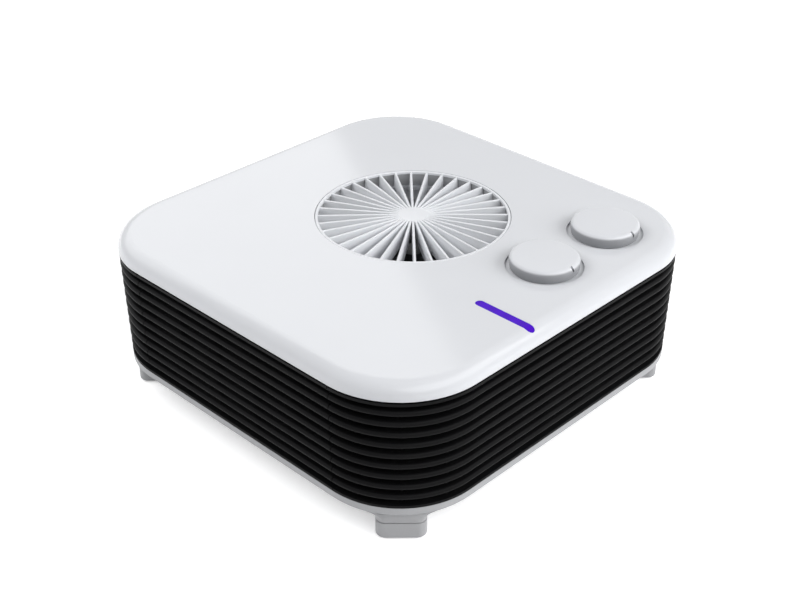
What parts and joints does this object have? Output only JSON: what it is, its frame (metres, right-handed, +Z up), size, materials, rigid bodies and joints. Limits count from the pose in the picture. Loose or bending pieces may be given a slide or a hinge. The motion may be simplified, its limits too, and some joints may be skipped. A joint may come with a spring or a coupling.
{
  "type": "fan heater",
  "caption": "Flat square fan heater with a round intake grille, louvred sides, short feet, two top knobs and a light bar.",
  "frame": {"origin": "on the floor, at the middle of the body's outline, under the feet", "axes": "+Z up; -Y towards the front edge, where the knobs and the light bar are; +X to the right seen from the front"},
  "size_m": [0.25, 0.25, 0.1024],
  "materials": {
    "cover_white": "high gloss, moulded",
    "grille_white": "satin, moulded",
    "knob_white": "satin gloss, moulded",
    "louvre_black": "satin black, moulded",
    "base_grey": "fine texture, moulded",
    "foot_grey": "fine texture, moulded",
    "pad_rubber": "matt",
    "light_violet": "clear violet light guide",
    "board_green": "solder mask",
    "sheet_steel": "zinc plated sheet",
    "screw_steel": "zinc plated",
    "brass": "turned",
    "bronze_bush": "sintered, oiled",
    "phenolic_brown": "phenolic moulding",
    "steatite": "unglazed",
    "mica": "pressed mica sheet",
    "coil_wire": "oxidised resistance wire",
    "wheel_plastic": "glass filled, moulded",
    "lamination_steel": "punched laminations",
    "copper_winding": "enamelled copper",
    "die_cast": "die cast"
  },
  "bodies": {
    "housing": {"top_cover": "cover_white", "intake_grille": "grille_white", "inlet_ring": "wheel_plastic", "inlet_screws": "screw_steel", "front_louvre_panel": "louvre_black", "rear_louvre_panel": "louvre_black", "left_louvre_panel": "louvre_black", "right_louvre_panel": "louvre_black", "base_tray": "base_grey", "housing_screws": "screw_steel", "cord_gland": "pad_rubber", "terminal_block": "steatite", "foot_front_left": "foot_grey", "foot_front_right": "foot_grey", "foot_rear_left": "foot_grey", "foot_rear_right": "foot_grey", "pad_front_left": "pad_rubber", "pad_front_right": "pad_rubber", "pad_rear_left": "pad_rubber", "pad_rear_right": "pad_rubber", "control_bracket": "sheet_steel", "bracket_screws": "screw_steel", "bushing_nuts": "brass", "mode_switch": "phenolic_brown", "thermostat": "steatite", "led_light_bar": "light_violet", "led_board": "board_green", "deck_plate": "sheet_steel", "deck_screws": "screw_steel", "element_frame": "mica", "heating_coil_low": "coil_wire", "heating_coil_high": "coil_wire", "thermal_cutout": "phenolic_brown", "thermal_fuse": "bronze_bush", "motor_stator": "lamination_steel", "motor_windings": "copper_winding", "motor_bracket_upper": "die_cast", "motor_bracket_lower": "die_cast", "bearing_upper": "bronze_bush", "bearing_lower": "bronze_bush", "motor_bolts": "screw_steel"},
    "fan": {"fan_wheel": "wheel_plastic", "motor_shaft": "screw_steel", "motor_rotor": "lamination_steel"},
    "mode_control": {"mode_knob": "knob_white", "mode_switch_shaft": "screw_steel"},
    "thermostat_control": {"thermostat_knob": "knob_white", "thermostat_shaft": "screw_steel"}
  },
  "joints": [
    {"name": "fan_spin", "type": "hinge", "parent": "housing", "child": "fan", "pos_m": [0.016, 0.004, 0.06], "axis": [0, 0, 1], "continuous": true},
    {"name": "mode_knob_turn", "type": "hinge", "parent": "housing", "child": "mode_control", "pos_m": [0.023, -0.086, 0.096], "axis": [0, 0, -1], "range_deg": [0, 135]},
    {"name": "thermostat_knob_turn", "type": "hinge", "parent": "housing", "child": "thermostat_control", "pos_m": [0.0756, -0.086, 0.096], "axis": [0, 0, -1], "range_deg": [0, 270]}
  ]
}
